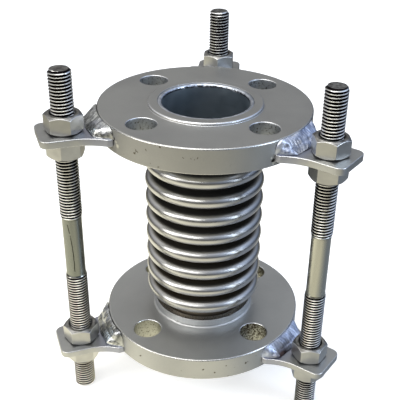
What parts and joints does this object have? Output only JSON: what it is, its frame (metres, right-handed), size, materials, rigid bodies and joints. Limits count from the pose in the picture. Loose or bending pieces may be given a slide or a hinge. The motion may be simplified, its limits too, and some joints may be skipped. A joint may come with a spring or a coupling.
{
  "type": "flanged bellows expansion joint",
  "caption": "Metal bellows expansion joint with flat bolting flanges, held at its length by threaded tie rods and hex nuts in welded lug plates.",
  "frame": {"origin": "centre of the lower rim's outer plane, where the bolt holes open, on the pipe axis; the raised sealing face stands 1.6 mm below it", "axes": "+Z along the pipe axis from the lower flange to the upper one; +Y towards the back tie rod; +X to the right of the view from the front"},
  "size_m": [0.1702, 0.1496, 0.2067],
  "materials": {
    "flange_steel": "blasted matt",
    "bellows_steel": "bright rolled stainless steel",
    "weld_metal": "rippled weld bead with heat tint",
    "lug_steel": "rolled plate with heat tint near the weld",
    "rod_steel": "rolled thread, bright",
    "nut_steel": "plain stainless steel"
  },
  "bodies": {
    "root": {"lower_flange": "flange_steel", "upper_flange": "flange_steel", "bellows": "bellows_steel", "lower_face_weld": "weld_metal", "upper_face_weld": "weld_metal", "upper_back_lug": "lug_steel", "upper_left_lug": "lug_steel", "upper_right_lug": "lug_steel", "lower_back_lug": "lug_steel", "lower_left_lug": "lug_steel", "lower_right_lug": "lug_steel", "upper_back_lug_weld": "weld_metal", "upper_left_lug_weld": "weld_metal", "upper_right_lug_weld": "weld_metal", "lower_back_lug_weld": "weld_metal", "lower_left_lug_weld": "weld_metal", "lower_right_lug_weld": "weld_metal", "back_tie_rod": "rod_steel", "left_tie_rod": "rod_steel", "right_tie_rod": "rod_steel", "upper_back_top_nut": "nut_steel", "upper_left_top_nut": "nut_steel", "upper_right_top_nut": "nut_steel", "upper_back_under_nut": "nut_steel", "upper_left_under_nut": "nut_steel", "upper_right_under_nut": "nut_steel", "lower_back_top_nut": "nut_steel", "lower_left_top_nut": "nut_steel", "lower_right_top_nut": "nut_steel", "lower_back_under_nut": "nut_steel", "lower_left_under_nut": "nut_steel", "lower_right_under_nut": "nut_steel"}
  },
  "joints": []
}
